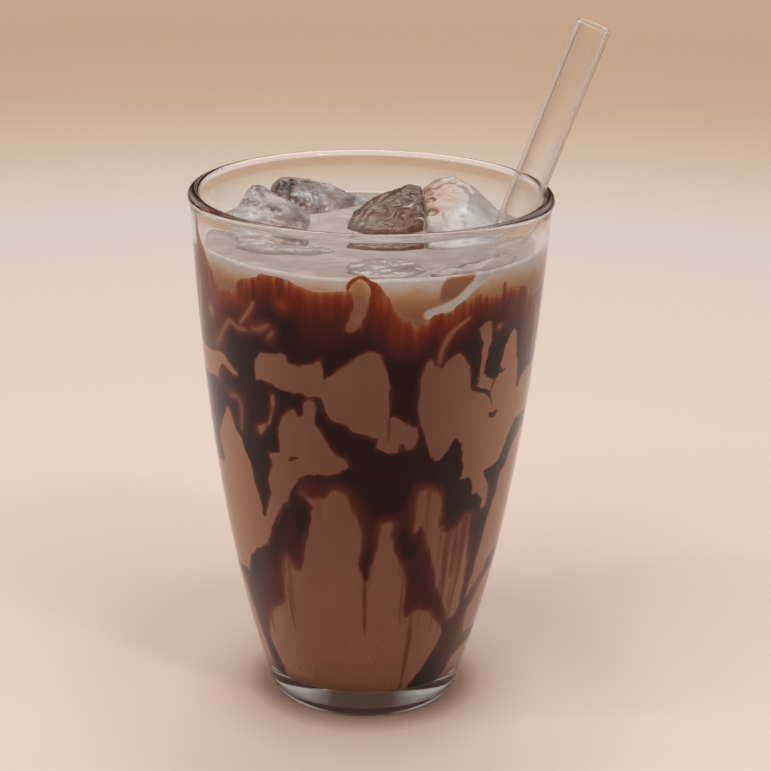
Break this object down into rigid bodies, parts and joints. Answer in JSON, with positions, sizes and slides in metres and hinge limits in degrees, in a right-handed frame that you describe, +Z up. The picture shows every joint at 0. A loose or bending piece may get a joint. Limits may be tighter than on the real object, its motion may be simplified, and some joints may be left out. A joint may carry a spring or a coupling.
{
  "type": "iced coffee",
  "caption": "Iced coffee in a tall tapered clear tumbler, with floating ice cubes, chocolate syrup down the inside of the glass and a clear straw.",
  "frame": {"origin": "centre of the glass's flat underside, on the surface it stands on", "axes": "+Z up along the glass's axis, +X towards the side that the straw leans over, -Y the front"},
  "size_m": [0.0975, 0.087, 0.1704],
  "materials": {
    "glass": "clear, polished",
    "coffee": "milky brown liquid, wet",
    "syrup": "dark chocolate syrup, glossy",
    "ice": "melting ice with cloudy cores",
    "straw": "clear, polished"
  },
  "bodies": {
    "root": {"glass": "glass", "drink": "coffee", "straw": "straw", "ice_left_front": "ice", "ice_left_back": "ice", "ice_middle": "ice", "ice_right": "ice"}
  },
  "joints": []
}
